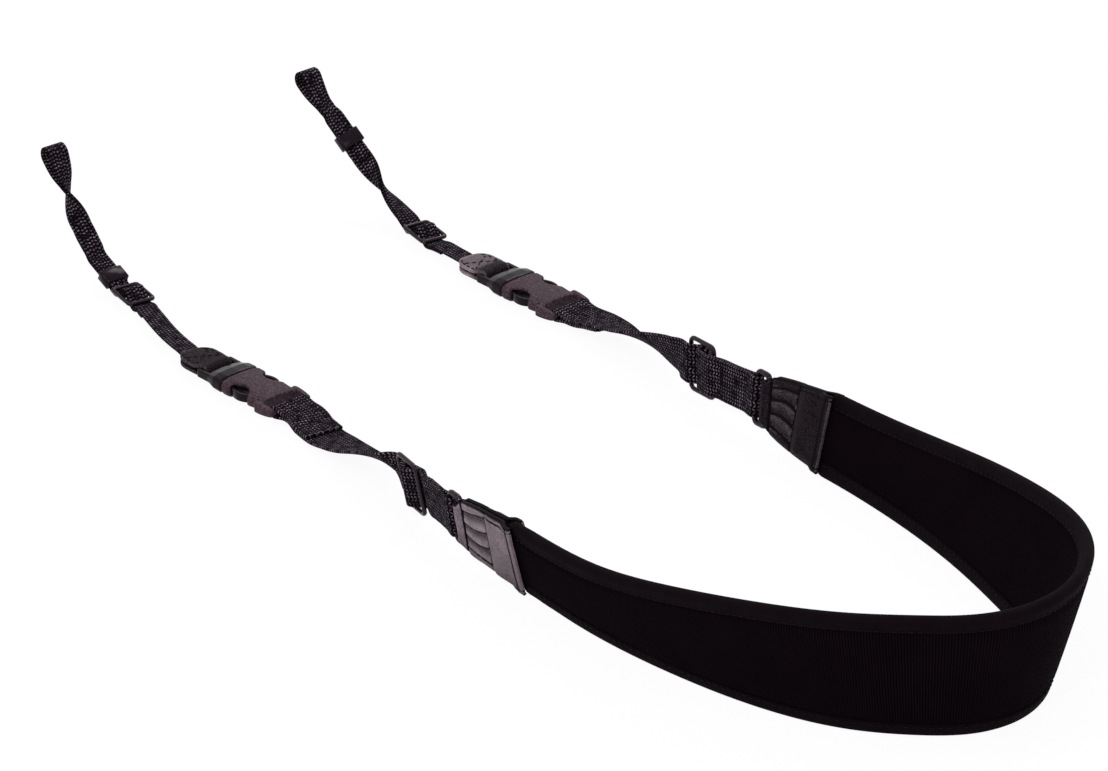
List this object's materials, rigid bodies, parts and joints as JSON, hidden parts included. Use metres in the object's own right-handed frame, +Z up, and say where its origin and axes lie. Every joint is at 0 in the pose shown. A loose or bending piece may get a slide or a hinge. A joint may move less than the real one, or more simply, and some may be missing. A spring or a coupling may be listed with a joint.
{
  "type": "camera strap",
  "caption": "Padded neck strap with leather ends, webbing, sliders, side-release buckles and thin adjustable ends that hook on a camera.",
  "frame": {"origin": "centre of the bounding box in plan, at the plane it rests on", "axes": "+Z up, +X from the thin ends towards the bend of the neck pad, +Y towards the right branch"},
  "size_m": [0.6596, 0.2252, 0.0674],
  "materials": {
    "jersey": "matte",
    "binding": "matte",
    "leather": "satin",
    "webbing": "matte",
    "plastic": "satin"
  },
  "bodies": {
    "strap": {"binding_lower": "binding", "binding_upper": "binding", "buckle_socket_left": "plastic", "buckle_socket_right": "plastic", "leather_tab_left": "leather", "leather_tab_right": "leather", "neck_pad": "jersey", "ring_left": "plastic", "ring_right": "plastic", "wide_slider_left": "plastic", "wide_slider_right": "plastic", "wide_webbing_left": "webbing", "wide_webbing_right": "webbing"},
    "thin_end_left": {"buckle_plug_left": "plastic", "leather_patch_left": "leather", "narrow_webbing_left": "webbing", "narrow_triglide_left": "plastic"},
    "keeper_left": {"keeper_left": "plastic"},
    "thin_end_right": {"buckle_plug_right": "plastic", "leather_patch_right": "leather", "narrow_webbing_right": "webbing", "narrow_triglide_right": "plastic"},
    "keeper_right": {"keeper_right": "plastic"}
  },
  "joints": [
    {"name": "buckle_release_left", "type": "slide", "parent": "strap", "child": "thin_end_left", "axis": [-0.9999, -0.0151, 0.0028], "range_m": [0, 0.028], "deforming": ["buckle_plug_left"]},
    {"name": "keeper_slide_left", "type": "slide", "parent": "thin_end_left", "child": "keeper_left", "axis": [-0.9019, -0.0017, 0.432], "range_m": [0, 0.008]},
    {"name": "buckle_release_right", "type": "slide", "parent": "strap", "child": "thin_end_right", "axis": [-0.9996, -0.0278, 0.0035], "range_m": [0, 0.028], "deforming": ["buckle_plug_right"]},
    {"name": "keeper_slide_right", "type": "slide", "parent": "thin_end_right", "child": "keeper_right", "axis": [-0.7038, -0.1454, 0.6953], "range_m": [0, 0.008]}
  ]
}
